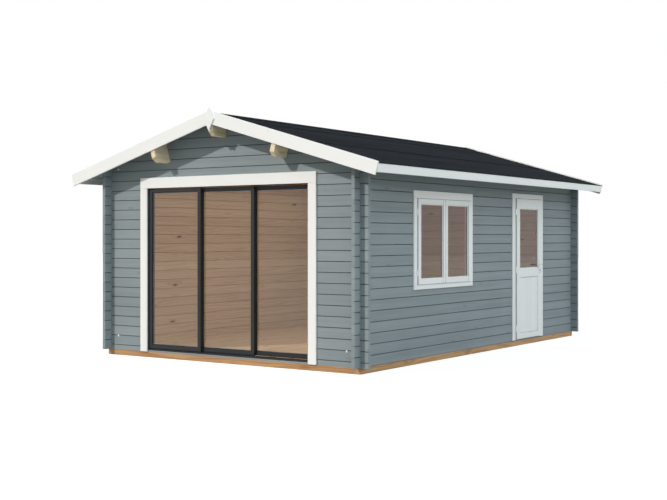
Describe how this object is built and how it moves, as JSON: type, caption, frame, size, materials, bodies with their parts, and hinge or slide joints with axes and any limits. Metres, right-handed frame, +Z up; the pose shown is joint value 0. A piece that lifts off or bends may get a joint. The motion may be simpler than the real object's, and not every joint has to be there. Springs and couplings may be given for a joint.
{
  "type": "garden house",
  "caption": "Log garden house with crossed log corners, low felted gable roof, glazed sliding door in the gable front, and a two-sash window and half-glazed door in one side wall.",
  "frame": {"origin": "middle of the underside of the base timbers, on the floor bearer under the middle of the house", "axes": "+X to the right and +Z up when looking at the sliding door; the front faces -Y and the ridge runs along Y"},
  "size_m": [4.346, 5.998, 2.8135],
  "materials": {
    "base_timber": "pressure-treated softwood, sawn, orange-brown",
    "floor_boards": "planed spruce floor boards, bare",
    "wall_paint": "spruce logs, blue-grey opaque stain outside, bare inside",
    "bare_spruce": "planed spruce, bare",
    "white_paint": "spruce boards, white opaque paint, satin",
    "felt": "bitumen roofing felt with slate-black mineral granules",
    "dark_aluminium": "anthracite powder coat, matt",
    "glass": "clear float glass",
    "steel": "galvanised and satin steel"
  },
  "bodies": {
    "house": {"base_side_beams": "base_timber", "base_cross_beams": "base_timber", "floor": "floor_boards", "door_sills": "wall_paint", "front_wall_left": "wall_paint", "front_wall_right": "wall_paint", "front_gable": "wall_paint", "rear_wall": "wall_paint", "left_wall": "wall_paint", "right_wall_front": "wall_paint", "right_wall_below_window": "wall_paint", "right_wall_above_window": "wall_paint", "right_wall_middle": "wall_paint", "right_wall_rear": "wall_paint", "right_wall_top": "wall_paint", "ridge_purlin": "bare_spruce", "side_purlins": "bare_spruce", "roof_boards_left": "bare_spruce", "roof_boards_right": "bare_spruce", "roof_felt": "felt", "eaves_boards": "white_paint", "front_bargeboards": "white_paint", "rear_bargeboards": "white_paint", "gable_plates": "white_paint", "sliding_door_casing": "white_paint", "sliding_door_frame": "dark_aluminium", "sliding_door_track": "dark_aluminium", "window_casing": "white_paint", "window_frame": "bare_spruce", "window_sashes": "white_paint", "window_glass": "glass", "window_hinges": "steel", "side_door_casing": "white_paint", "side_door_frame": "bare_spruce", "side_door_hinge_pins": "steel"},
    "sliding_left": {"sliding_panel_left": "dark_aluminium", "sliding_glass_left": "glass"},
    "sliding_middle": {"sliding_panel_middle": "dark_aluminium", "sliding_glass_middle": "glass"},
    "sliding_right": {"sliding_panel_right": "dark_aluminium", "sliding_glass_right": "glass"},
    "side_door": {"side_door_leaf": "white_paint", "side_door_glass": "glass", "side_door_hinge_tops": "steel", "side_door_lock_plates": "steel"},
    "side_door_handle": {"side_door_lever": "steel"}
  },
  "joints": [
    {"name": "left_panel_slide", "type": "slide", "parent": "house", "child": "sliding_left", "axis": [1, 0, 0], "range_m": [0, 1.4833]},
    {"name": "middle_panel_slide", "type": "slide", "parent": "house", "child": "sliding_middle", "axis": [1, 0, 0], "range_m": [-0.7416, 0.7416]},
    {"name": "right_panel_slide", "type": "slide", "parent": "house", "child": "sliding_right", "axis": [1, 0, 0], "range_m": [-1.4833, 0]},
    {"name": "side_door_hinge", "type": "hinge", "parent": "house", "child": "side_door", "pos_m": [1.826, 0.865, 1], "axis": [0, 0, -1], "range_deg": [0, 120]},
    {"name": "lever_turn", "type": "hinge", "parent": "side_door", "child": "side_door_handle", "pos_m": [1.8, 1.575, 1.035], "axis": [1, 0, 0], "range_deg": [0, 40], "stiffness_Nm_per_rad": 1.5, "springref_deg": -20.05}
  ]
}
